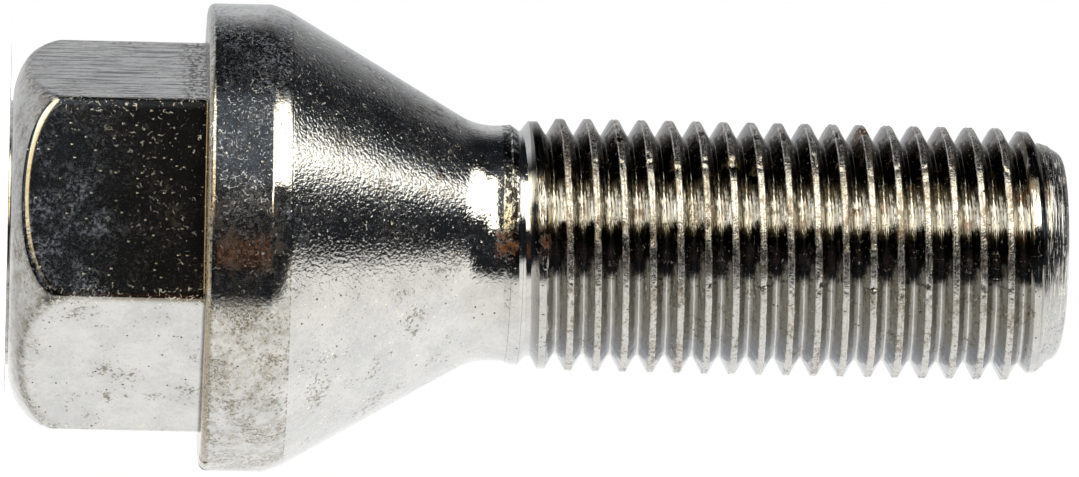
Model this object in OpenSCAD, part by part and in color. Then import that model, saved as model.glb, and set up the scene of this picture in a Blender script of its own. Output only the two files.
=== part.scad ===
// Wheel bolt: a hexagon head, a collar, a 60 degree cone that seats in the wheel, and a threaded shank.
// It is one solid, forged and thread-rolled. It stands on its head: the origin is the centre of the
// head's end face, and +Z runs along the bolt's axis to the tip of the thread.

/* [Head] */
// Width of the hexagon across its flats
hex_af = 19; // [17:0.5:21]
// Height of the hexagon, from its end face to the collar
hex_h = 10.7; // [8:0.1:16]
// How far the hexagon's corners are rolled down
corner_cut = 0.1; // [0.05:0.05:0.4]
// Diameter of the flat on the head's end
end_flat_d = 14; // [12:0.1:15]
// Height at which the round of the head's end meets the hexagon's corners
end_round_h = 2.5; // [1.5:0.1:4]
// Turn of the hexagon about the axis, in degrees
hex_turn = -12; // [-30:1:30]

/* [Collar and cone] */
// Diameter of the collar
collar_d = 25.6; // [25:0.1:30]
// Height of the collar's side, up to its corner with the cone
collar_h = 3.9; // [2:0.1:8]
// Round on the collar's rim, on the head's side
rim_round_r = 0.4; // [0.2:0.1:1]
// Round where the collar turns into the cone
shoulder_round_r = 1.2; // [0.5:0.1:3]
// Included angle of the cone, in degrees
cone_angle = 60; // [50:1:70]
// Fillet between the cone and the neck
neck_fillet_r = 3; // [1:0.1:4.5]

/* [Shank] */
// Length of the shank, from the end of the cone to the tip
shank_len = 32.3; // [22:0.1:50]
// Diameter of the plain neck between the cone and the thread
neck_d = 13; // [12.4:0.05:13.5]
// Length of the neck, from the end of the cone to the thread's first groove
neck_len = 1.9; // [1.5:0.1:6]

/* [Thread] */
// Outer diameter over the thread's crests
thread_d = 13.9; // [13.75:0.01:14]
// Pitch of the thread
pitch = 1.5; // [1.25:0.25:1.5]
// Flats of each crest and root, around one turn
thread_facets = 40; // [24:4:56]
// Turn of the thread about the axis, in degrees
thread_turn = 104; // [0:1:359]
// Length over which the first crests rise from the neck to their full height
rise_len = 3.2; // [1:0.1:6]
// Angle of the chamfer at the tip, from the axis, in degrees
tip_angle = 30; // [20:1:45]
// Diameter at the corner of the chamfer and the tip's end
tip_d = 11; // [9:0.1:11.5]
// Round over that corner
tip_round_r = 0.8; // [0.2:0.1:1.5]

/* [Hidden] */
$fn = 96;

// How far a trimming outline stands clear of what it leaves whole, and how deep joined forms overlap
margin = 0.5;

// Head
flat_r = end_flat_d / 2;
hex_corner_r = hex_af / 2 / cos(30);
corner_r = hex_corner_r - corner_cut;
end_round_r = (pow(corner_r - flat_r, 2) + pow(end_round_h, 2)) / (2 * end_round_h);

// Heights along the axis, from the head's end face
shoulder_z = hex_h + collar_h;
cone_end_z = shoulder_z + (collar_d - neck_d) / 2 / tan(cone_angle / 2);
thread_z = cone_end_z + neck_len;
tip_z = cone_end_z + shank_len;

// Collar, cone and neck, with the distance from each corner to where its round begins
collar_r = collar_d / 2;
neck_r = neck_d / 2;
cone_half = cone_angle / 2;
shoulder_back = shoulder_round_r * tan(cone_half / 2);
fillet_back = neck_fillet_r * tan(cone_half / 2);

// Thread: a 60 degree profile with the depth of a rolled thread and a crest an eighth of the pitch wide
crest_r = thread_d / 2;
thread_depth = 0.6134 * pitch;
root_r = crest_r - thread_depth;
flank_w = thread_depth * tan(30);
crest_w = pitch / 8;
root_w = pitch - crest_w - 2 * flank_w;
profile = [
    [root_r, 0],
    [root_r, root_w],
    [crest_r, root_w + flank_w],
    [crest_r, root_w + flank_w + crest_w]
];

// The helix begins inside the neck, and ends past the tip
helix_z = thread_z - 2 * pitch;
turns = ceil((tip_z - helix_z) / pitch) + 1;

// Tip: the distance from its corner to where its round begins
tip_r = tip_d / 2;
tip_back = tip_round_r * tan((90 - tip_angle) / 2);

// Hexagon, running into the collar, with its end rounded over and its corners rolled down
module hex_head() {
    color("silver")
        intersection() {
            rotate([0, 0, hex_turn]) cylinder(r = hex_corner_r, h = hex_h + margin, $fn = 6);
            rotate_extrude() head_outline();
        }
}

// Half section that the hexagon is trimmed to
module head_outline() {
    intersection() {
        square([corner_r, hex_h + 2 * margin]);
        union() {
            square([flat_r, hex_h + 2 * margin]);
            translate([flat_r, end_round_r]) circle(r = end_round_r);
            translate([0, end_round_r]) square([corner_r + margin, hex_h + 2 * margin]);
        }
    }
}

// Collar, cone and neck, turned as one outline
module collar_and_cone() {
    color("gainsboro") rotate_extrude() body_outline();
}

// Half section of the collar, the cone and the neck, with their rounds
module body_outline() {
    runout = neck_r - root_r + margin;
    difference() {
        union() {
            polygon([
                [0, hex_h],
                [collar_r - rim_round_r, hex_h],
                [collar_r, hex_h + rim_round_r],
                [collar_r, shoulder_z - shoulder_back],
                [collar_r - shoulder_back * sin(cone_half), shoulder_z + shoulder_back * cos(cone_half)],
                [neck_r + fillet_back * sin(cone_half), cone_end_z - fillet_back * cos(cone_half)],
                [neck_r, cone_end_z + fillet_back],
                [neck_r, thread_z],
                [neck_r - runout, thread_z + runout],
                [0, thread_z + runout]
            ]);
            translate([collar_r - rim_round_r, hex_h + rim_round_r]) circle(r = rim_round_r);
            translate([collar_r - shoulder_round_r, shoulder_z - shoulder_back]) circle(r = shoulder_round_r);
        }
        translate([neck_r + neck_fillet_r, cone_end_z + fillet_back]) circle(r = neck_fillet_r);
    }
}

// Threaded bar, trimmed to its outline
module thread() {
    color("silver")
        intersection() {
            rotate([0, 0, thread_turn]) thread_bar();
            rotate_extrude() thread_outline();
        }
}

// Half section of the thread: the rise of its first crests, and the chamfered, rounded tip
module thread_outline() {
    rise_z = thread_z - margin;
    clear_r = crest_r + margin;
    clear_len = rise_len * (clear_r - neck_r) / (crest_r - neck_r);
    polygon([
        [0, cone_end_z],
        [neck_r - margin, cone_end_z],
        [neck_r, rise_z],
        [clear_r, rise_z + clear_len],
        [clear_r, tip_z - (clear_r - tip_r) / tan(tip_angle)],
        [tip_r + tip_back * sin(tip_angle), tip_z - tip_back * cos(tip_angle)],
        [tip_r - tip_back, tip_z],
        [0, tip_z]
    ]);
    translate([tip_r - tip_back, tip_z - tip_round_r]) circle(r = tip_round_r);
}

// Point j of the profile, i steps along the helix
function helix_point(i, j) =
    let (turn = i / thread_facets, r = profile[j][0])
    [r * cos(360 * turn), r * sin(360 * turn), helix_z + pitch * turn + profile[j][1]];

// Bar with a right-hand thread: the profile's strips, wound so that each turn meets the one before.
// Each end is closed by a fan from the axis, and by the half section where the helix starts or stops.
module thread_bar() {
    n = thread_facets;
    k = len(profile);
    last = n * turns;
    foot = k * (last + n + 1);
    head = foot + 1;
    strips = [
        for (i = [0 : last - 1]) for (j = [0 : k - 1])
            let (up = j < k - 1 ? j + 1 : k * n)
            [k * i + j, k * i + up, k * (i + 1) + up, k * (i + 1) + j]
    ];
    foot_fan = [for (i = [0 : n - 1]) [foot, k * i, k * (i + 1)]];
    head_fan = [for (i = [last : last + n - 1]) [head, k * (i + 1), k * i]];
    foot_section = [foot, k * n, for (j = [k - 1 : -1 : 0]) j];
    head_section = [head, for (j = [0 : k]) k * last + (j < k ? j : k * n)];
    polyhedron(
        points = concat(
            [for (i = [0 : last + n]) for (j = [0 : k - 1]) helix_point(i, j)],
            [[0, 0, helix_z], [0, 0, helix_z + (turns + 1) * pitch]]
        ),
        faces = concat(strips, foot_fan, head_fan, [foot_section, head_section])
    );
}

// The whole bolt
module wheel_bolt() {
    hex_head();
    collar_and_cone();
    thread();
}

wheel_bolt();
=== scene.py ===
import math

import bpy
import numpy as np
from mathutils import Matrix, Vector, noise


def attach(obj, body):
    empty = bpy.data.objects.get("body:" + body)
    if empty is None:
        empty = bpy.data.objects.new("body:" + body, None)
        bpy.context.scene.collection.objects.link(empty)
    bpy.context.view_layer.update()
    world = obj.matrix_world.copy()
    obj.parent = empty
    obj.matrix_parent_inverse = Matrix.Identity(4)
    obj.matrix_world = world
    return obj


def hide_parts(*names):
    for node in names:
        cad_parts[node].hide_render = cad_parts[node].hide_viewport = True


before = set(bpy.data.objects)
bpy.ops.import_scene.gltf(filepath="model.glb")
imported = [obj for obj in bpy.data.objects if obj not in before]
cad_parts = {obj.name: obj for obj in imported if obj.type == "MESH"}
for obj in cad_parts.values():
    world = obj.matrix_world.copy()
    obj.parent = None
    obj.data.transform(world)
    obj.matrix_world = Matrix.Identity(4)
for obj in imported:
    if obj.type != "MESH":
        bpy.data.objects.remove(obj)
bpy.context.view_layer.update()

MM = 0.001

# Head
HEX_AF = 19.0
HEX_H = 10.7
HEX_TURN = -12.0
HEX_CORNER_R = 0.6
END_R = 7.25
END_STEP = 0.13
DOME_H = 2.5
DOME_EDGE = 0.38
COLLAR_FILLET = 0.12

# Collar, cone and neck
COLLAR_R = 12.8
RIM_R = 0.4
SHOULDER_Z = 14.6
# The shoulder: a small round from the collar's side, then a flatter one that ends at a corner with the cone
CORNER_Z = 14.11
CORNER_ROUND = 0.5
CORNER_TURN = 16
FACET_ROUND = 7.1
FACET_TURN = 24
CONE_HALF = math.radians(30)
NECK_R = 6.5
NECK_FILLET = 3.8
CONE_END_Z = SHOULDER_Z + (COLLAR_R - NECK_R) / math.tan(CONE_HALF)
# The orange peel starts here on the cone
PEEL_START = 15.22

# Thread
PITCH = 1.5
THREAD_Z = CONE_END_Z + 1.9
THREAD_TURN = 104.0
CREST_MIDDLE = 0.875
CREST_Z = THREAD_Z - 2 * PITCH + CREST_MIDDLE - PITCH * THREAD_TURN / 360
TIP_Z = CONE_END_Z + 32.3
TIP_R = 5.5
TIP_ROUND = 0.8
TIP_ANGLE = math.radians(30)
# Slight dish in the tip's end: radius and depth, down to the axis
DISH = [(4.6, 0.0), (3.9, 0.03), (2.8, 0.14), (1.4, 0.22), (0.0, 0.25)]
# The thread's profile: distance from the middle of the crest, and radius there. Its flanks make 60 degrees,
# so that light leaves a groove after three reflections as if from a plain bar, only dimmer.
PROFILE_C = [0.0, 0.06, 0.11, 0.15, 0.185, 0.225, 0.61, 0.65, 0.70, 0.75]
PROFILE_R = [6.905, 6.930, 6.935, 6.922, 6.885, 6.816, 6.149, 6.085, 6.045, 6.035]
# The neck, which rises to the first crest
NECK_SECTION_Z = [26.5, 26.8, 27.1, 27.32, 27.42]
NECK_SECTION_R = [6.44, 6.455, 6.48, 6.50, 6.60]
# Radius that the blank had where it was rolled: it rises after the neck, and falls again at the tip
BLANK_Z = [27.2, 27.45, 28.0, 28.7, 29.2, 30.2, 31.0, 54.3, 55.0, 55.9, 56.2, 56.5, 56.9, 57.1]
BLANK_R = [6.45, 6.62, 6.66, 6.74, 6.82, 6.92, 6.95, 6.95, 6.90, 6.70, 6.58, 6.40, 6.16, 6.00]
# The first groove is shallow
GROOVE_Z = [28.5, 29.6]
GROOVE_R = [6.20, 6.00]
# The helical rows lie between these two rings of the mesh, and no nearer to them than the gap
HELIX_LOW = THREAD_Z - 0.5
HELIX_HIGH = TIP_Z - 0.8
HELIX_GAP = 0.015
# Unevenness: waviness from forging, coarse and fine, then the thread's wander, its chewed crests and nicks
FORGED, FORGED_FINE = 0.010, 0.004
WANDER, CHEWED, NICKED = 0.012, 0.18, 0.045


def step(lo, hi, value):
    """Smooth step from 0 at lo to 1 at hi."""
    t = np.clip((value - lo) / (hi - lo), 0.0, 1.0)
    return t * t * (3.0 - 2.0 * t)


def field(points, scale, shift):
    """Smooth noise, from about -1 to 1, at each point."""
    flat = np.asarray(points).reshape(-1, 3) * scale + shift
    values = np.array([noise.noise(p) for p in flat.tolist()])
    return values.reshape(np.shape(points)[:-1])


def column_angles():
    """Angles of the mesh's columns. They crowd beside each corner of the hexagon."""
    beside = [0.0, 0.4, 0.9, 1.5, 2.4, 3.8]
    sector = beside + list(np.linspace(6.0, 54.0, 23)) + [60.0 - b for b in beside[:0:-1]]
    return np.radians([HEX_TURN + 60 * k + s for k in range(6) for s in sector])


ANGLE = column_angles()
N = len(ANGLE)


def hex_radius(angle):
    """Radius of the hexagon, with its six corners rounded."""
    off = (angle - math.radians(HEX_TURN)) % math.radians(60)
    beta = np.minimum(off, math.radians(60) - off)
    flat = HEX_AF / 2 / np.cos(math.radians(30) - beta)
    centre = (HEX_AF / 2 - HEX_CORNER_R) / math.cos(math.radians(30))
    inside = np.clip(HEX_CORNER_R**2 - (centre * np.sin(beta)) ** 2, 0.0, None)
    tangent = math.radians(30) - math.atan(centre * math.sin(math.radians(30)) / (HEX_AF / 2))
    return np.where(beta < tangent, centre * np.cos(beta) + np.sqrt(inside), flat)


CORNER_R = float(hex_radius(math.radians(HEX_TURN)))
DOME_RISE = DOME_H - END_STEP
DOME_R = ((CORNER_R - END_R) ** 2 + DOME_RISE**2) / (2 * DOME_RISE)


def head_rings():
    """Rings from the head's end face, over the dome and up the hexagon, to the collar."""
    wall = hex_radius(ANGLE)
    ones = np.ones(N)
    rings = [(r * ones, z * ones) for r, z in [
        (2.5, 0), (5.0, 0), (6.7, 0), (7.1, 0), (END_R - 0.03, 0), (END_R, 0.03),
        (END_R, END_STEP - 0.03), (END_R + 0.03, END_STEP)]]
    full = np.arcsin((wall - END_R) / DOME_R)
    edge_z = END_STEP + DOME_R * (1 - np.cos(full))
    before = full - DOME_EDGE / DOME_R

    def dome(turned):
        return END_R + DOME_R * np.sin(turned), END_STEP + DOME_R * (1 - np.cos(turned))

    rings += [dome(before * f) for f in (0.06, 0.16, 0.28, 0.4, 0.52, 0.64, 0.76, 0.88, 0.95)]
    start_r, start_z = dome(before)
    for t in (0.0, 0.17, 0.34, 0.5, 0.66, 0.83, 1.0):
        a, b, c = (1 - t) ** 2, 2 * t * (1 - t), t * t
        rings.append((a * start_r + (b + c) * wall, a * start_z + b * edge_z + c * (edge_z + DOME_EDGE)))
    low = edge_z + DOME_EDGE
    high = HEX_H - COLLAR_FILLET
    for f in (0.03, 0.1, 0.22, 0.36, 0.5, 0.64, 0.78, 0.9, 0.97, 1.0):
        rings.append((wall, low + (high - low) * f))
    for t in (22, 45, 68, 90):
        turned = math.radians(t)
        rings.append((wall + COLLAR_FILLET * (1 - math.cos(turned)),
                      (high + COLLAR_FILLET * math.sin(turned)) * ones))
    outer = COLLAR_R - RIM_R
    rings += [(wall + COLLAR_FILLET + (outer - wall - COLLAR_FILLET) * f, HEX_H * ones) for f in (0.3, 0.65)]
    return rings


def arc(centre_r, centre_z, radius, start, end, count):
    """Points on an arc of the half section. Angles are from the radial direction, in degrees."""
    turns = np.radians(np.linspace(start, end, count))
    return [(centre_r + radius * math.cos(t), centre_z + radius * math.sin(t)) for t in turns]


def body_section():
    """Half section of the collar, the cone and the neck, up to where the helical rows begin."""
    fillet_back = NECK_FILLET * math.tan(CONE_HALF / 2)
    low, high = HEX_H + RIM_R, CORNER_Z
    points = arc(COLLAR_R - RIM_R, low, RIM_R, -90, 0, 6)
    points += [(COLLAR_R, low + (high - low) * f) for f in (0.05, 0.15, 0.3, 0.45, 0.6, 0.75, 0.88, 0.96)]
    points += arc(COLLAR_R - CORNER_ROUND, high, CORNER_ROUND, 0, CORNER_TURN, 5)
    facet_r, facet_z = points[-1]
    turn = math.radians(CORNER_TURN)
    facet_r -= FACET_ROUND * math.cos(turn)
    facet_z -= FACET_ROUND * math.sin(turn)
    points += arc(facet_r, facet_z, FACET_ROUND, CORNER_TURN, FACET_TURN, 6)[1:]
    top = points[-1]
    waist = NECK_SECTION_R[0]
    fillet = arc(waist + NECK_FILLET, CONE_END_Z + fillet_back, NECK_FILLET, 210, 180, 9)
    for f in (0.004, 0.06, 0.13, 0.21, 0.3, 0.4, 0.5, 0.6, 0.7, 0.8, 0.9, 0.97):
        points.append((top[0] + (fillet[0][0] - top[0]) * f, top[1] + (fillet[0][1] - top[1]) * f))
    points += fillet
    points += [(np.interp(z, NECK_SECTION_Z, NECK_SECTION_R), z) for z in (26.65, 26.8, HELIX_LOW)]
    return points


def tip_section():
    """Half section of the tip, from where the helical rows end to near the axis."""
    back = TIP_ROUND * math.tan((math.pi / 2 - TIP_ANGLE) / 2)
    chamfer_r = TIP_R + (TIP_Z - HELIX_HIGH) * math.tan(TIP_ANGLE)
    points = [(chamfer_r, HELIX_HIGH), ((chamfer_r + TIP_R + back / 2) / 2, (HELIX_HIGH + TIP_Z - back) / 2)]
    points += arc(TIP_R - back, TIP_Z - TIP_ROUND, TIP_ROUND, 30, 90, 8)
    points += [(r, TIP_Z - depth) for r, depth in DISH[:-1]]
    return points


def profile_offset(angle, z):
    """Distance along the axis from the middle of the nearest crest."""
    turns = (z - CREST_Z) / PITCH - angle / (2 * math.pi)
    return (turns - np.round(turns)) * PITCH


def thread_radius(angle, z, offset):
    """Radius of the rolled profile, with its first crests rising and its last ones cut by the chamfer."""
    place = np.stack([NECK_R * np.cos(angle), NECK_R * np.sin(angle), z], axis=-1)
    crest = 1 - step(0.19, 0.30, np.abs(offset))
    wander = WANDER * field(place, 0.9, 3.1)
    radius = np.interp(np.abs(offset + wander), PROFILE_C, PROFILE_R)
    chewed = np.clip(field(place, 2.6, 11.7) - 0.12, 0.0, None)
    radius -= crest * (CHEWED * chewed + NICKED * np.abs(field(place, 5.2, 5.3)))
    blank = np.interp(z - 0.75 * np.clip(offset, -0.3, 0.3), BLANK_Z, BLANK_R)
    radius = np.minimum(radius, blank)
    runout = np.interp(z, NECK_SECTION_Z, NECK_SECTION_R) - np.clip(z - THREAD_Z, 0.0, None)
    groove = np.interp(z, GROOVE_Z, GROOVE_R)
    return np.maximum(radius, np.maximum(runout, groove))


# Dents and chips in the surface: side, height, radius, width, depth
DENTS = [
    (-86, 10.75, 12.7, 0.55, 0.26),
    (-62, 10.8, 12.7, 0.3, 0.08),
    (31, 10.8, 12.7, 0.35, 0.07),
    (96, 10.9, 12.7, 0.5, 0.10),
    (-131, 14.3, 12.7, 0.6, 0.08),
    (174, 10.8, 12.7, 0.45, 0.12),
    (9, 14.6, 12.7, 0.6, 0.03),
    (2, 14.9, 12.6, 0.5, 0.025),
    (42, 14.7, 12.7, 0.6, 0.04),
    (50, 14.4, 12.8, 0.55, 0.04),
    (-19, 14.7, 12.7, 0.6, 0.03),
    (49, 2.6, 10.4, 0.5, 0.05),
    (-72, 2.4, 10.4, 0.5, 0.06),
    (41, 39.4, 6.95, 0.6, 0.25),
    (-52, 46.1, 6.9, 0.35, 0.14),
    (58, 33.2, 6.9, 0.35, 0.12),
]


def heading(side):
    """Angle about the axis of a side of the bolt: 0 is the camera's side, and 90 is up in the picture."""
    return math.radians(270 - side)


def dents(points):
    """Depth of the dents at each point."""
    depth = np.zeros(points.shape[:-1])
    radius = np.hypot(points[..., 0], points[..., 1])
    angle = np.arctan2(points[..., 1], points[..., 0])
    for side, z, out, width, deep in DENTS:
        turned = np.angle(np.exp(1j * (angle - heading(side))))
        away = np.sqrt((radius * turned) ** 2 + (points[..., 2] - z) ** 2 + (radius - out) ** 2)
        depth += deep * (1 - step(0.15 * width, width, away))
    return depth


def sunk(points, inward):
    """The points, moved towards the axis."""
    radius = np.hypot(points[..., 0], points[..., 1])
    share = 1 - inward / np.maximum(radius, 1.0)
    return points * np.stack([share, share, np.ones_like(share)], axis=-1)


def place_ring(radius, z):
    """Points of one ring, uneven from forging and dented, except at the bolt's two ends."""
    points = np.stack([radius * np.cos(ANGLE), radius * np.sin(ANGLE), np.broadcast_to(z, N)], axis=-1)
    outside = step(0.0, 0.3, points[..., 2]) * (1 - step(TIP_Z - 0.6, TIP_Z - 0.1, points[..., 2]))
    uneven = FORGED * field(points, 0.42, 21.0) + FORGED_FINE * field(points, 1.3, 40.0)
    return sunk(points, np.maximum(uneven + dents(points), 0.0) * outside)


def bolt_mesh():
    """Vertices and faces: rings up to the neck, helical rows over the thread, and rings over the tip."""
    lower = head_rings() + [(r * np.ones(N), z * np.ones(N)) for r, z in body_section()]
    upper = [(r * np.ones(N), z * np.ones(N)) for r, z in tip_section()]
    vertices = [np.array([[0.0, 0.0, 0.0], [0.0, 0.0, TIP_Z - DISH[-1][1]]])]
    faces = []
    total = 2

    def add_rings(rings):
        nonlocal total
        starts = []
        for radius, z in rings:
            vertices.append(place_ring(radius, z))
            starts.append(total)
            total += N
        for low, high in zip(starts, starts[1:]):
            for j in range(N):
                k = (j + 1) % N
                faces.append((low + j, low + k, high + k, high + j))
        return starts

    low_rings = add_rings(lower)
    high_rings = add_rings(upper)
    faces.extend((0, low_rings[0] + (j + 1) % N, low_rings[0] + j) for j in range(N))
    faces.extend((1, high_rings[-1] + j, high_rings[-1] + (j + 1) % N) for j in range(N))

    # Helical rows. Row k of column 0 continues row k - rows of the last column.
    offsets = [-c for c in PROFILE_C[:0:-1]] + PROFILE_C[:-1]
    rows = len(offsets)
    turned = ANGLE - ANGLE[0]
    first = math.floor((HELIX_LOW - CREST_Z) / PITCH) - 2
    count = math.ceil((HELIX_HIGH - HELIX_LOW) / PITCH) + 4
    level = np.array([PITCH * (first + t) + o for t in range(count) for o in offsets])
    start = CREST_Z + PITCH * ANGLE[0] / (2 * math.pi)
    z = start + level[None, :] + PITCH * turned[:, None] / (2 * math.pi)
    angle = np.broadcast_to(ANGLE[:, None], z.shape)
    radius = thread_radius(angle, z, profile_offset(angle, z))
    points = np.stack([radius * np.cos(angle), radius * np.sin(angle), z], axis=-1)
    points = sunk(points, dents(points))
    keep = (z > HELIX_LOW + HELIX_GAP) & (z < HELIX_HIGH - HELIX_GAP)
    index = np.where(z <= HELIX_LOW + HELIX_GAP, low_rings[-1], high_rings[0]) + np.arange(N)[:, None]
    index[keep] = total + np.arange(keep.sum())
    vertices.append(points[keep])
    for j in range(N):
        wrap = j == N - 1
        here = index[j].tolist()
        after = index[0, rows:].tolist() if wrap else index[j + 1].tolist()
        for k in range(len(after) - 1):
            ring = [here[k], after[k], after[k + 1], here[k + 1]]
            face = [v for i, v in enumerate(ring) if v != ring[i - 1]]
            if len(face) > 2:
                faces.append(tuple(face))
    return np.concatenate(vertices), faces


def make_bolt():
    points, faces = bolt_mesh()
    mesh = bpy.data.meshes.new("wheel_bolt_surface")
    mesh.from_pydata((points * MM).tolist(), [], faces)
    mesh.validate()
    mesh.shade_smooth()
    piece = bpy.data.objects.new("wheel_bolt_surface", mesh)
    bpy.context.collection.objects.link(piece)
    return piece


class Graph:
    """Adds shader nodes by short calls. Every input may be a number, a tuple or another node's socket."""

    def __init__(self, tree):
        self.tree = tree
        tree.nodes.clear()

    def node(self, kind, inputs=None, **settings):
        made = self.tree.nodes.new(kind)
        for name, value in settings.items():
            setattr(made, name, value)
        for name, value in (inputs or {}).items():
            if isinstance(value, bpy.types.NodeSocket):
                self.tree.links.new(value, made.inputs[name])
            else:
                made.inputs[name].default_value = value
        return made

    def math(self, operation, a, b=0.0):
        return self.node("ShaderNodeMath", {0: a, 1: b}, operation=operation).outputs[0]

    def folded(self, operation, values):
        total = values[0]
        for value in values[1:]:
            total = self.math(operation, total, value)
        return total

    def add(self, *values):
        return self.folded("ADD", values)

    def times(self, *values):
        return self.folded("MULTIPLY", values)

    def most(self, *values):
        return self.folded("MAXIMUM", values)

    def less(self, a, b):
        return self.math("SUBTRACT", a, b)

    def ramp(self, value, lo, hi, start=0.0, end=1.0):
        """Smooth ramp from start at lo to end at hi."""
        inputs = {0: value, 1: lo, 2: hi, 3: start, 4: end}
        return self.node("ShaderNodeMapRange", inputs, interpolation_type="SMOOTHSTEP").outputs[0]

    def band(self, value, lo, hi, soft):
        """1 between lo and hi, with soft edges."""
        return self.times(self.ramp(value, lo - soft, lo + soft), self.ramp(value, hi + soft, hi - soft))

    def split(self, vector):
        return self.node("ShaderNodeSeparateXYZ", {0: vector}).outputs

    def joined(self, x, y=0.0):
        return self.node("ShaderNodeCombineXYZ", {0: x, 1: y}).outputs[0]

    def scaled(self, vector, by):
        return self.node("ShaderNodeVectorMath", {0: vector, 1: by}, operation="MULTIPLY").outputs[0]

    def noise(self, at, scale, detail=2.0, rough=0.5, distort=0.0):
        inputs = {"Vector": at, "Scale": scale, "Detail": detail, "Roughness": rough, "Distortion": distort}
        return self.node("ShaderNodeTexNoise", inputs).outputs[0]

    def mix(self, share, a, b):
        inputs = {0: share, 6: a, 7: b}
        return self.node("ShaderNodeMix", inputs, data_type="RGBA").outputs[2]


# The face of the hexagon nearest the camera, the brushed face above it in the picture, and the one below
MIDDLE_SIDE, BRUSHED_SIDE, LOWER_SIDE = 12, 72, -48
# The way up the middle face, in the picture
UP_SIDE = MIDDLE_SIDE + 90
FLAT = HEX_AF / 2

# Heights between which the cone's finish fades into the neck's, and where it ends
FADE_LOW, FADE_HIGH, NECK_LINE = 24.3, 25.6, 27.4
# The scarred end of the neck, the start of the first groove, and where the tip's chamfer begins
SCAR_LOW, SCAR_HIGH = 26.9, 27.75
GROOVED_Z = 28.45
CHAMFER_Z = 56.2

# Colours of the plating, and the cool and warm painted shade of the thread's flanks
CLOUDED = (0.60, 0.60, 0.595, 1)
CLEAR = (0.72, 0.715, 0.695, 1)
COOL_FLANK_SHADE = (0.43, 0.445, 0.48, 1)
WARM_FLANK_SHADE = (0.42, 0.41, 0.38, 1)
TURNED_TIP = (0.42, 0.42, 0.41, 1)
# Colours of what lies on it or shows through it, and of the light and shade painted on it
GROOVE_SHADE_LINE = (0.05, 0.04, 0.025, 1)
MOTTLE = (0.36, 0.33, 0.27, 1)
GRIME = (0.18, 0.15, 0.10, 1)
GAP = (0.05, 0.04, 0.03, 1)
FLECK = (0.04, 0.03, 0.02, 1)
STREAK = (0.10, 0.10, 0.10, 1)
NECK_SHADE = (0.035, 0.03, 0.025, 1)
STAIN = (0.15, 0.09, 0.04, 1)
BROWN_REFLECTION = (0.19, 0.11, 0.045, 1)
CORNER_SHADE = (0.04, 0.024, 0.01, 1)
SEAM_DIRT = (0.12, 0.08, 0.03, 1)
MIDDLE_FACE_SHADE = (0.25, 0.21, 0.16, 1)
DEPOSIT = (0.42, 0.33, 0.20, 1)
HAZE = (0.58, 0.62, 0.68, 1)
WARM_SCRATCH = (0.92, 0.85, 0.66, 1)
GLINT_SCRATCH = (0.98, 0.96, 0.90, 1)
TIP_HIGHLIGHT = (0.80, 0.76, 0.66, 1)
WORN_CREST = (0.56, 0.51, 0.44, 1)
BROWNED = (0.16, 0.08, 0.035, 1)
DARK_RUST = (0.035, 0.010, 0.004, 1)
LIGHT_RUST = (0.20, 0.072, 0.018, 1)

# Rust blotches: side, height, radius, size
RUST = [
    (-2, 27.1, 6.5, 0.55),
    (3, 26.8, 6.4, 0.35),
    (1, 29.3, 6.7, 0.45),
    (-150, 22.0, 8.6, 0.8),
    (150, 13.0, 12.8, 0.9),
    (72, 46.3, 6.9, 0.75),
    (-21, 35.2, 6.6, 0.28),
    (-74, 10.8, 12.6, 0.35),
]


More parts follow.
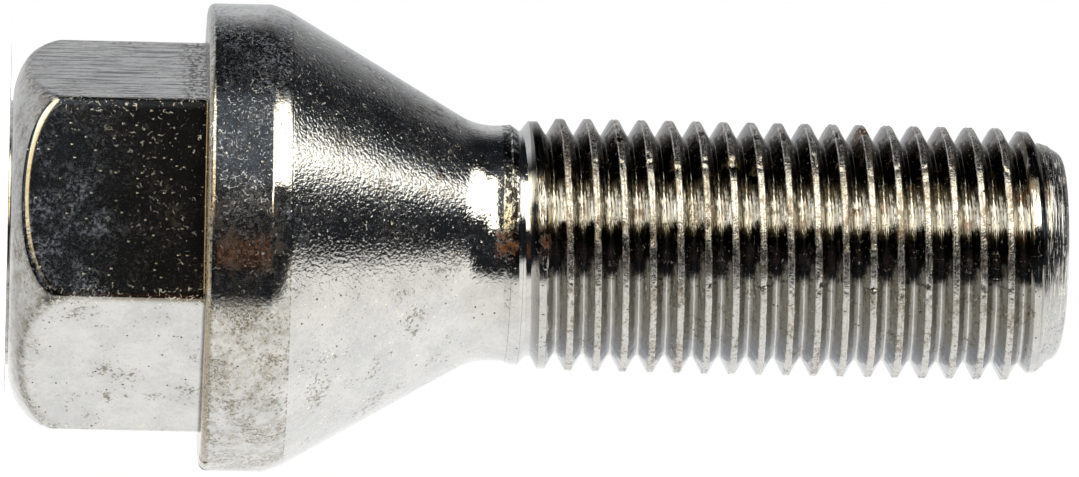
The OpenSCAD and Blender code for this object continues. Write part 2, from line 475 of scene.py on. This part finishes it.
class Surface:
    """Coordinates on the bolt in millimetres, masks of its parts and shared textures, all as sockets.

    A mask is 1 on its part and 0 elsewhere.
    """

    def __init__(self, g):
        self.g = g
        self.mm = g.scaled(g.node("ShaderNodeTexCoord").outputs["Object"], (1 / MM, 1 / MM, 1 / MM))
        self.x, self.y, self.z = g.split(self.mm)
        self.radius = g.math("SQRT", g.add(g.times(self.x, self.x), g.times(self.y, self.y)))
        self.angle = g.math("ARCTAN2", self.y, self.x)
        rise = g.times(g.less(self.z, CREST_Z), 1 / PITCH)
        self.turns = g.less(rise, g.times(self.angle, 1 / (2 * math.pi)))
        self.mark_parts()
        self.mark_faces()
        self.make_textures()

    def towards(self, side):
        """Distance from the axis towards a side of the bolt."""
        a = heading(side)
        return self.g.add(self.g.times(self.x, math.cos(a)), self.g.times(self.y, math.sin(a)))

    def mark_parts(self):
        g, z = self.g, self.z
        self.head = g.ramp(z, HEX_H + 0.02, HEX_H - 0.02)
        self.collar = g.band(z, HEX_H, PEEL_START, 0.05)
        peeled = g.ramp(z, PEEL_START, PEEL_START + 0.1)
        fading = g.ramp(z, FADE_LOW, FADE_HIGH, 1.0, 0.5)
        self.cone = g.times(peeled, fading, g.ramp(z, NECK_LINE + 0.1, NECK_LINE - 0.1))
        self.seam = g.band(z, PEEL_START - 0.03, PEEL_START + 0.03, 0.03)
        self.scar = g.times(g.band(z, SCAR_LOW, SCAR_HIGH, 0.1), g.ramp(self.towards(60), 0.8, 3.0))
        self.thread = g.ramp(z, SCAR_HIGH, SCAR_HIGH + 0.15)
        self.grooved = g.ramp(z, GROOVED_Z, GROOVED_Z + 0.25)
        self.crest = g.times(self.thread, g.ramp(self.radius, 6.80, 6.88))
        self.tip = g.ramp(z, CHAMFER_Z, CHAMFER_Z + 0.6)
        self.chamfer = g.times(self.tip, g.ramp(self.radius, 4.75, 5.15))

    def mark_faces(self):
        g = self.g
        self.up_face = self.towards(UP_SIDE)
        self.reach = self.towards(MIDDLE_SIDE)
        reaches = [self.reach, self.towards(BRUSHED_SIDE), self.towards(LOWER_SIDE)]
        self.middle, self.brushed = [
            g.times(self.head, g.ramp(reach, FLAT - 0.25, FLAT - 0.08)) for reach in reaches[:2]]
        wall = g.most(*[g.math("ABSOLUTE", reach) for reach in reaches])
        self.domed = g.times(self.head, g.ramp(wall, FLAT - 0.155, FLAT - 0.22))
        # The arcs where the dome cuts the six faces
        below = g.most(g.less(DOME_R + END_STEP, self.z), 0.0)
        across = g.most(g.less(DOME_R**2, g.times(below, below)), 0.0)
        outside = g.less(g.add(g.math("SQRT", across), END_R), self.radius)
        self.rim = g.times(self.head, g.ramp(wall, FLAT - 0.5, FLAT - 0.05), g.ramp(outside, 0.5, 0.05))

    def make_textures(self):
        g = self.g
        self.patches = g.noise(self.mm, 0.42, 3.0, 0.6)
        self.specks = g.noise(self.mm, 4.2, 4.0, 0.75)
        self.lines = g.noise(g.joined(g.math("FRACT", self.turns), g.times(self.angle, 0.3)), 17.0, 2.0, 0.7)
        self.axial = g.noise(g.scaled(self.mm, (1.0, 1.0, 0.05)), 5.4, 3.0, 0.7)
        cells = g.node("ShaderNodeTexVoronoi", {"Vector": self.mm, "Scale": 2.7}, feature="F1").outputs
        self.cell_distance = cells["Distance"]
        self.cell_colour = g.node("ShaderNodeSeparateColor", {0: cells["Color"]}).outputs


def fine_relief(s):
    """Height of the relief that is too fine for the mesh, in millimetres."""
    g = s.g
    peel = g.add(g.noise(s.mm, 5.8, 1.0, 0.5, 0.4), -0.5)
    grain = g.noise(s.mm, 11.0, 2.0, 0.6)
    chewed = g.noise(s.mm, 8.0, 2.0, 0.6)
    turned = g.noise(g.joined(s.z, g.times(s.angle, 0.2)), 8.0, 2.0, 0.6)
    rings = g.noise(g.joined(s.radius), 6.0, 3.0, 0.6)
    pit = g.times(g.ramp(s.cell_distance, 0.2, 0.05), g.ramp(s.cell_colour[0], 0.66, 0.70))
    return g.add(
        g.times(peel, g.add(g.times(s.cone, 0.021), g.times(s.collar, 0.004), 0.0015)),
        g.times(grain, g.add(0.0018, g.times(s.cone, 0.0022))),
        g.times(s.lines, g.add(g.times(s.grooved, 0.012), 0.001), s.thread),
        g.times(chewed, g.add(g.times(s.crest, 0.024), g.times(s.scar, 0.014))),
        g.times(turned, s.chamfer, 0.06),
        g.times(rings, s.domed, 0.006),
        g.times(pit, -0.012),
        g.times(s.axial, s.brushed, 0.045),
        g.times(s.seam, -0.003))


def painted_flank_shade(s):
    """Painted shade on the thread's flanks, except on the side where they reflect the lamp."""
    g = s.g
    offset = g.times(g.math("ABSOLUTE", g.add(g.math("FRACT", g.add(s.turns, 0.5)), -0.5)), PITCH)
    between = g.times(g.ramp(offset, 0.17, 0.21), g.ramp(offset, 0.66, 0.62))
    return g.times(g.ramp(s.towards(20), 6.0, 6.6, 1.0, 0.1), g.ramp(s.z, 28.2, 29.0), between,
                   g.ramp(s.tip, 0.5, 0.0))


def flank_shade_colour(s):
    """Cooler or warmer grey of the flanks' painted shade, by their side and by the specks."""
    g = s.g
    level = g.add(g.ramp(s.towards(0), 2.0, 5.0), g.times(g.add(s.specks, -0.5), 1.6))
    return g.mix(level, COOL_FLANK_SHADE, WARM_FLANK_SHADE)


def groove_shade_lines(s):
    """Painted shade in lines along the grooves, mostly on the lamp's side, denser above and below its band in
    the picture.
    """
    g = s.g
    ends = g.add(g.ramp(s.towards(-70), 0.5, 1.7), g.ramp(s.towards(119), -0.9, 0.6))
    dense = g.ramp(g.add(s.lines, g.times(ends, 0.2)), 0.57, 0.61)
    return g.times(s.grooved, dense, g.ramp(s.towards(50), 3.4, 4.6, 0.12, 1.0),
                   g.ramp(s.crest, 0.0, 1.0, 1.0, 0.3))


def mottle(s):
    """Grey-brown mottling of the collar and the dome, strongest at the dome's edge."""
    g = s.g
    amount = g.add(g.times(s.collar, 0.5), g.times(s.domed, 0.75), 0.06)
    wide = g.times(g.ramp(g.noise(s.mm, 1.5, 6.0, 0.78), 0.44, 0.62), amount)
    fine = g.ramp(g.noise(s.mm, 2.2, 6.0, 0.78), 0.46, 0.60)
    return g.most(wide, g.times(s.head, g.ramp(s.z, 2.6, 1.0), fine, 0.55))


def grime(s):
    """Specks of grime in patches, finer on the collar, with dashes on the cone and lines round the faces."""
    g = s.g
    back_rim = g.times(g.ramp(s.z, HEX_H + 0.5, HEX_H + 0.3), g.ramp(s.radius, 12.0, 12.2))
    neck = g.band(s.z, 25.2, 28.8, 0.6)
    amounts = [
        (s.collar, 0.14), (back_rim, 0.12), (s.crest, 0.09), (s.cone, 0.018), (s.tip, 0.08), (neck, -0.10)]
    dirtier = g.add(*[g.times(part, amount) for part, amount in amounts])
    spread = g.ramp(g.add(g.times(s.patches, 0.8), s.specks, dirtier), 0.99, 1.13)
    finer = g.times(s.collar, g.ramp(g.noise(s.mm, 9.0, 2.0, 0.6), 0.58, 0.46), 0.72)
    dashes = g.times(s.cone, g.ramp(g.noise(s.mm, 7.0, 3.0, 0.7), 0.63, 0.72), 0.6)
    border = g.times(s.rim, g.ramp(s.specks, 0.42, 0.60), g.ramp(s.reach, 8.9, 9.3, 1.0, 0.3))
    return g.most(g.times(spread, g.less(1.0, finer)), dashes, border)


def rim_gaps(s):
    """Gaps in the bright rim of the middle face, in its lower half in the picture."""
    g = s.g
    torn = g.ramp(g.noise(s.mm, 2.4, 3.0, 0.7), 0.60, 0.54)
    return g.times(s.rim, g.ramp(s.reach, 8.8, 9.1), g.ramp(s.up_face, 2.0, -2.0), torn)


def flecks(s):
    """Dark flecks, in a few of the cells."""
    g = s.g
    return g.times(g.ramp(s.cell_distance, 0.19, 0.11), g.ramp(s.cell_colour[1], 0.84, 0.86))


def neck_shade_and_lines(s):
    """Painted shade in patches on the neck's scarred end and on the first groove's wall, where lamps reflect,
    and two dark turned lines.
    """
    g = s.g
    patches = g.times(s.scar, g.ramp(g.noise(s.mm, 2.6, 3.0, 0.6), 0.56, 0.50))
    rings = g.most(g.band(s.z, 27.30, 27.33, 0.015), g.band(s.z, 27.97, 28.00, 0.015))
    groove = g.times(g.band(s.z, 28.38, 28.74, 0.03), g.ramp(s.towards(50), 3.0, 5.0))
    return g.most(patches, g.times(rings, 0.5), g.times(groove, 0.65))


def stain(s):
    """Brown stain near the cone's narrow end, on top in the picture."""
    g = s.g
    torn = g.ramp(g.noise(s.mm, 1.3, 4.0, 0.7), 0.52, 0.60)
    return g.times(s.cone, g.ramp(s.towards(72), 3.0, 6.0), g.ramp(s.z, 19.0, 24.0), torn)


def brown_reflection(s):
    """Brown reflection painted on the collar's front."""
    g = s.g
    torn = g.ramp(g.noise(s.mm, 1.3, 5.0, 0.75), 0.50, 0.60)
    return g.times(s.collar, g.ramp(s.towards(1), 12.4, 12.75), torn)


def corner_shade(s):
    """Painted shade in the corner between the head and the collar, wider on the middle face."""
    g = s.g
    wider = g.times(s.middle, 1.3)
    near = g.less(s.z, g.less(HEX_H - 0.22, wider))
    return g.times(s.head, g.ramp(near, 0.0, g.add(0.2, wider)), g.add(0.6, g.times(s.middle, 0.35)))


def pits_by_collar(s):
    """Pits in the brushed face, beside the collar."""
    g = s.g
    torn = g.ramp(g.noise(s.mm, 3.8, 2.0, 0.6), 0.50, 0.54)
    return g.times(s.brushed, g.ramp(s.z, HEX_H - 1.7, HEX_H - 0.9), torn)


def deposit(s):
    """Pale deposit along the collar's edge behind the head, thinner on top in the picture."""
    g = s.g
    line = g.times(g.band(s.z, HEX_H - 0.03, HEX_H + 0.25, 0.03), g.ramp(s.specks, 0.43, 0.54))
    return g.times(line, g.ramp(s.up_face, 8.0, -4.0, 0.3, 0.9))


def haze(s):
    """Haze, which scatters light and so shows in the dark reflections."""
    g = s.g
    film = g.ramp(g.noise(s.mm, 4.4, 6.0, 0.85), 0.45, 0.62)
    face = g.times(s.middle, g.ramp(s.z, 8.5, 3.0, 0.12, 1.0), g.ramp(s.up_face, 4.5, -2.0, 0.4, 1.0))
    high = g.times(s.collar, g.ramp(s.towards(60), 4.5, 9.0, 0.15, 1.0))
    amount = g.add(g.times(high, 0.32), g.times(s.cone, 0.10), g.times(face, 0.42), g.times(s.tip, 0.2))
    return g.times(film, amount, g.ramp(s.patches, 0.38, 0.56, 0.2, 1.0))


def scratches(s, painted_glint):
    """Short curved scratches and bright dust, most of them on the collar, and denser on its lamp side as
    painted glints.
    """
    g = s.g
    edge = g.times(s.head, g.ramp(s.radius, 10.5, 10.75))
    upper = g.times(s.middle, g.ramp(s.z, 2.0, 8.0), g.ramp(s.up_face, -6.0, 4.0, 0.2, 1.0))
    broken = g.add(g.noise(s.mm, 3.2, 2.0, 0.5), g.times(g.add(s.patches, -0.5), 0.3),
                   g.times(painted_glint, 0.085), g.times(edge, 0.075))
    curl = g.math("ABSOLUTE", g.add(g.noise(s.mm, 3.0, 1.0, 0.4), -0.5))
    curls = g.times(g.ramp(curl, 0.030, 0.010), g.ramp(broken, 0.60, 0.64))
    dust = g.add(g.noise(s.mm, 13.0, 2.0, 0.6), g.times(painted_glint, s.patches, 0.10), g.times(s.cone, 0.012))
    dust = g.times(g.ramp(dust, 0.70, 0.735), g.add(0.7, g.times(painted_glint, 0.3)))
    amount = g.add(0.06, g.times(upper, 0.85), g.times(edge, 0.7), g.times(s.cone, 0.7),
                   g.times(s.grooved, 0.35), g.times(s.collar, g.add(0.45, g.times(painted_glint, 0.5))))
    return g.times(g.most(curls, dust), amount)


def tip_highlight_lines(s):
    """Light turned lines on the tip's chamfer and one along the edge of its end, painted as highlights on the
    lamp's side only.
    """
    g = s.g
    fine = g.ramp(g.noise(g.joined(s.z, g.times(s.angle, 0.4)), 13.0, 2.0, 0.6), 0.555, 0.60)
    lip = g.band(s.z, TIP_Z - 0.42, TIP_Z - 0.36, 0.03)
    torn = g.ramp(g.noise(s.mm, 3.4, 3.0, 0.7), 0.40, 0.52, 0.25, 1.0)
    return g.times(s.chamfer, g.ramp(s.towards(50), -1.5, 1.5), g.most(fine, lip), torn)


def browned_grooves(s):
    """Brown film in parts of the grooves, on the lamp's side."""
    g = s.g
    torn = g.ramp(g.noise(g.scaled(s.mm, (0.5, 0.5, 1.0)), 1.6, 3.0, 0.6), 0.56, 0.64)
    return g.times(s.grooved, torn, g.ramp(s.towards(30), 4.0, 5.5), 0.5)


def rust_blotches(s):
    """Ragged blotches of rust at the places in RUST."""
    g = s.g
    ragged = g.less(g.times(g.noise(s.mm, 3.2, 4.0, 0.7), 2.4), 1.2)
    blotches = []
    for side, z, radius, size in RUST:
        a = heading(side)
        centre = (radius * math.cos(a), radius * math.sin(a), z)
        away = g.node("ShaderNodeVectorMath", {0: s.mm, 1: centre}, operation="DISTANCE").outputs["Value"]
        blotches.append(g.ramp(g.add(away, g.times(ragged, size)), size + 0.1, size - 0.1))
    return g.times(g.most(*blotches), g.ramp(g.noise(s.mm, 3.0, 5.0, 0.75), 0.42, 0.50))


def plated_steel():
    """Bright plating over steel. Layers of brushing, grime, scratches, rust and painted light and shade lie
    over it in their order.
    """
    material = bpy.data.materials.new("plated_steel_worn")
    material.use_nodes = True
    g = Graph(material.node_tree)
    s = Surface(g)
    normal = g.node("ShaderNodeBump", {"Strength": 1.0, "Distance": MM, "Height": fine_relief(s)}).outputs[0]

    dirt = grime(s)
    reflected_brown = brown_reflection(s)
    pale = deposit(s)
    hazed = haze(s)
    # The collar's side towards the lamp, where scratches and dust are painted denser and whiter as glints
    painted_glint = g.times(s.collar, g.ramp(s.towards(24), 11.9, 12.65))
    scratched = scratches(s, painted_glint)
    tip_highlights = tip_highlight_lines(s)
    worn = g.times(s.crest, g.ramp(g.noise(s.mm, 5.0, 3.0, 0.7), 0.45, 0.60))
    browned = browned_grooves(s)
    rusted = rust_blotches(s)
    layers = [
        # Painted shade on the thread's flanks
        (painted_flank_shade(s), flank_shade_colour(s)),
        # Painted shade in lines along the grooves, breaking up the lamp's reflection
        (g.times(groove_shade_lines(s), 0.92), GROOVE_SHADE_LINE),
        (mottle(s), MOTTLE),
        (g.times(dirt, g.add(0.8, g.times(s.collar, 0.1))), GRIME),
        (g.times(rim_gaps(s), 0.85), GAP),
        (flecks(s), FLECK),
        (g.times(s.brushed, g.ramp(s.axial, 0.535, 0.575), 0.8), STREAK),
        # Painted shade on the neck's end and the first groove, with two dark turned lines
        (g.times(neck_shade_and_lines(s), 0.93), NECK_SHADE),
        (g.times(stain(s), 0.7), STAIN),
        # Painted brown reflection on the collar's front
        (g.times(reflected_brown, 0.8), BROWN_REFLECTION),
        (g.times(s.tip, 0.4), TURNED_TIP),
        # Painted shade in the corner by the collar
        (corner_shade(s), CORNER_SHADE),
        (pits_by_collar(s), FLECK),
        (g.times(s.seam, g.ramp(s.specks, 0.46, 0.56), 0.85), SEAM_DIRT),
        # Painted shade on the middle face, darker towards the collar
        (g.times(s.middle, g.ramp(s.z, 2.0, 8.0, 0.3, 0.85)), MIDDLE_FACE_SHADE),
        (pale, DEPOSIT),
        (g.ramp(hazed, 0.0, 0.3), HAZE),
        # Scratches painted whiter as glints on the collar's side towards the lamp
        (scratched, g.mix(painted_glint, WARM_SCRATCH, GLINT_SCRATCH)),
        # Painted highlights on the tip's chamfer
        (g.times(tip_highlights, 0.8), TIP_HIGHLIGHT),
        (g.times(worn, 0.65), WORN_CREST),
        (browned, BROWNED),
        (rusted, g.mix(g.ramp(s.specks, 0.42, 0.58), DARK_RUST, LIGHT_RUST)),
    ]
    cloud = g.noise(s.mm, 0.55, 4.0, 0.6)
    clean = g.ramp(g.add(g.times(cloud, 0.5), g.times(s.specks, 0.5)), 0.38, 0.60)
    colour = g.mix(clean, CLOUDED, CLEAR)
    for share, paint in layers:
        colour = g.mix(share, colour, paint)

    roughness = g.add(0.09, g.times(dirt, 0.10), g.times(s.crest, 0.12), g.times(rusted, 0.5),
                      g.times(s.scar, 0.04), g.times(s.tip, 0.03))
    # What isn't metal scatters light instead of reflecting it
    dull = g.most(
        hazed, g.times(scratched, 0.85), g.times(tip_highlights, 0.7), g.times(pale, 0.7), g.times(rusted, 0.55),
        g.times(worn, 0.26), g.times(browned, 0.2), g.times(reflected_brown, 0.2))
    shader = g.node("ShaderNodeBsdfPrincipled", {
        "Base Color": colour, "Metallic": g.less(1.0, dull), "Roughness": roughness, "Normal": normal})
    g.node("ShaderNodeOutputMaterial", {0: shader.outputs[0]})
    return material


# Colours of the room: its white walls, the dark at the camera, and what else the bolt reflects
BRIGHT_WALL = (1.06, 1.06, 1.05, 1)
WARM_WALL = (1.01, 0.99, 0.94, 1)
COOL_WALL = (0.98, 0.99, 1.015, 1)
DARK = (0.012, 0.013, 0.016, 1)
BLUE_CARD = (0.62, 0.77, 0.95, 1)
WOOD = (0.42, 0.17, 0.065, 1)
LOW_LAMP_WARM = (1.9, 1.55, 0.95, 1)
LOW_LAMP_WHITE = (3.2, 3.0, 2.4, 1)


def studio():
    """Room of soft light, which shows in reflections only. The camera itself sees plain white.

    A direction is given by its side of the bolt and by its height over the horizon, both in degrees.
    """
    world = bpy.data.worlds.new("studio")
    world.use_nodes = True
    bpy.context.scene.world = world
    g = Graph(world.node_tree)
    x, y, z = g.split(g.node("ShaderNodeTexCoord").outputs["Generated"])
    side = g.math("DEGREES", g.math("ARCTAN2", g.times(x, -1.0), g.times(y, -1.0)))
    height = g.math("DEGREES", g.math("ARCSINE", z))

    # White walls below in the picture and behind the bolt. High up, their edges lie further round.
    slant = g.less(side, g.ramp(height, 38, 52, 0.0, 15.6))
    below = g.times(g.ramp(slant, -29, -39), g.ramp(height, -8, -45, 1.0, 0.70))
    # Below the horizon the wall behind comes further round
    wider = g.add(slant, g.ramp(height, -8, -20, 0.0, 30.0))
    behind = g.times(g.ramp(wider, 118, 150), g.ramp(height, 6, 22, 0.68, 0.28))
    white = g.times(g.most(below, behind), g.ramp(height, 76, 64))
    tint = g.mix(g.band(slant, -85, -10, 20), BRIGHT_WALL, WARM_WALL)
    tint = g.mix(g.ramp(slant, 60, 110), tint, COOL_WALL)
    gain = g.ramp(height, 15, 45, 1.0, 1.06)
    tint = g.node("ShaderNodeVectorMath", {0: tint, "Scale": gain}, operation="SCALE").outputs[0]

    # Elsewhere it is dark, but for a faint blue card and a low lamp, both above in the picture, and a strip
    # of wood in front
    card = g.times(g.band(slant, 30, 74, 8), 0.12)
    room = g.mix(white, g.mix(card, DARK, BLUE_CARD), tint)
    wood = g.times(g.ramp(side, -15.4, -13.2), g.ramp(side, 5, -5), g.band(height, 1.15, 2.3, 0.12))
    room = g.mix(wood, room, WOOD)
    low_lamp = g.times(g.band(side, 16, 80, 10), g.band(height, -50, -17, 4))
    room = g.mix(low_lamp, room, g.mix(g.ramp(side, 30, 60), LOW_LAMP_WARM, LOW_LAMP_WHITE))
    seen = g.node("ShaderNodeLightPath").outputs["Is Camera Ray"]
    shown = g.node("ShaderNodeBackground", {0: g.mix(seen, room, (1.0, 1.0, 1.0, 1)), 1: 1.0})
    g.node("ShaderNodeOutputWorld", {0: shown.outputs[0]})


# The softbox: its side of the bolt, its distance, and its outline as a place across it and a height
SOFTBOX_SIDE = 40
SOFTBOX_DISTANCE = 120.0
SOFTBOX_OUTLINE = [
    (-58, 29.5), (56, 29.5), (56, 74), (76, 78), (104, 127), (68, 160), (76, 290), (66, 290),
    (52, 232), (12, 182), (-18, 150), (-31, 68), (-58, 64),
]
SOFTBOX_AMBER = (1.0, 0.92, 0.74, 1)
SOFTBOX_CREAM = (1.0, 0.97, 0.88, 1)


def make_softbox():
    """Warm softbox above in the picture. It begins level with the thread, so the collar only glints."""
    side = math.radians(SOFTBOX_SIDE)
    points = []
    for across, z in SOFTBOX_OUTLINE:
        points.append(((-math.sin(side) * SOFTBOX_DISTANCE - math.cos(side) * across) * MM,
                       (-math.cos(side) * SOFTBOX_DISTANCE + math.sin(side) * across) * MM, z * MM))
    mesh = bpy.data.meshes.new("softbox")
    mesh.from_pydata(points, [], [range(len(points))])
    box = bpy.data.objects.new("softbox", mesh)
    bpy.context.collection.objects.link(box)
    material = bpy.data.materials.new("softbox_glow")
    material.use_nodes = True
    g = Graph(material.node_tree)
    height = g.split(g.node("ShaderNodeTexCoord").outputs["Object"])[2]
    tint = g.mix(g.ramp(height, 0.05, 0.12), SOFTBOX_AMBER, SOFTBOX_CREAM)
    glow = g.node("ShaderNodeEmission", {0: tint, 1: g.ramp(height, 0.09, 0.17, 3.4, 2.0)})
    g.node("ShaderNodeOutputMaterial", {0: glow.outputs[0]})
    mesh.materials.append(material)
    box.visible_camera = box.visible_diffuse = box.visible_shadow = False


def make_floor():
    """Plain pale floor, and the light above that keeps it white."""
    bpy.ops.mesh.primitive_circle_add(vertices=128, radius=0.4, fill_type="NGON", location=(0, 0, 0))
    floor = bpy.context.object
    floor.name = "floor"
    material = bpy.data.materials.new("floor_white")
    material.use_nodes = True
    g = Graph(material.node_tree)
    shader = g.node("ShaderNodeBsdfDiffuse", {0: (0.92, 0.92, 0.92, 1)})
    g.node("ShaderNodeOutputMaterial", {0: shader.outputs[0]})
    floor.data.materials.append(material)
    floor.visible_glossy = False
    light = bpy.data.lights.new("overhead", "SUN")
    light.energy = 3.6
    light.angle = math.radians(60)
    lamp = bpy.data.objects.new("overhead", light)
    lamp.visible_glossy = False
    bpy.context.collection.objects.link(lamp)


def make_camera():
    """Camera just over the floor and rolled a quarter turn, so that the bolt lies across the picture."""
    frame_width = 0.05924
    tilt = math.radians(1.25)
    place = Vector((-0.0003, -0.520, 0.0010))
    target = Vector((-0.0003, 0.0, 0.02915))
    away = (place - target).normalized()
    right = Vector((-math.sin(tilt), 0.0, math.cos(tilt)))
    right = (right - right.dot(away) * away).normalized()
    up = away.cross(right)
    data = bpy.data.cameras.new("camera")
    data.sensor_width = 36.0
    data.lens = data.sensor_width * (place - target).length / frame_width
    data.clip_start, data.clip_end = 0.01, 10.0
    camera = bpy.data.objects.new("camera", data)
    turn = Matrix((right, up, away)).transposed().to_4x4()
    camera.matrix_world = Matrix.Translation(place) @ turn
    bpy.context.collection.objects.link(camera)
    bpy.context.scene.camera = camera


bolt = make_bolt()
bolt.data.materials.append(plated_steel())
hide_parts("wheel_bolt")
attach(bolt, "root")

studio()
make_softbox()
make_floor()
make_camera()
bpy.context.scene.view_settings.view_transform = "Standard"
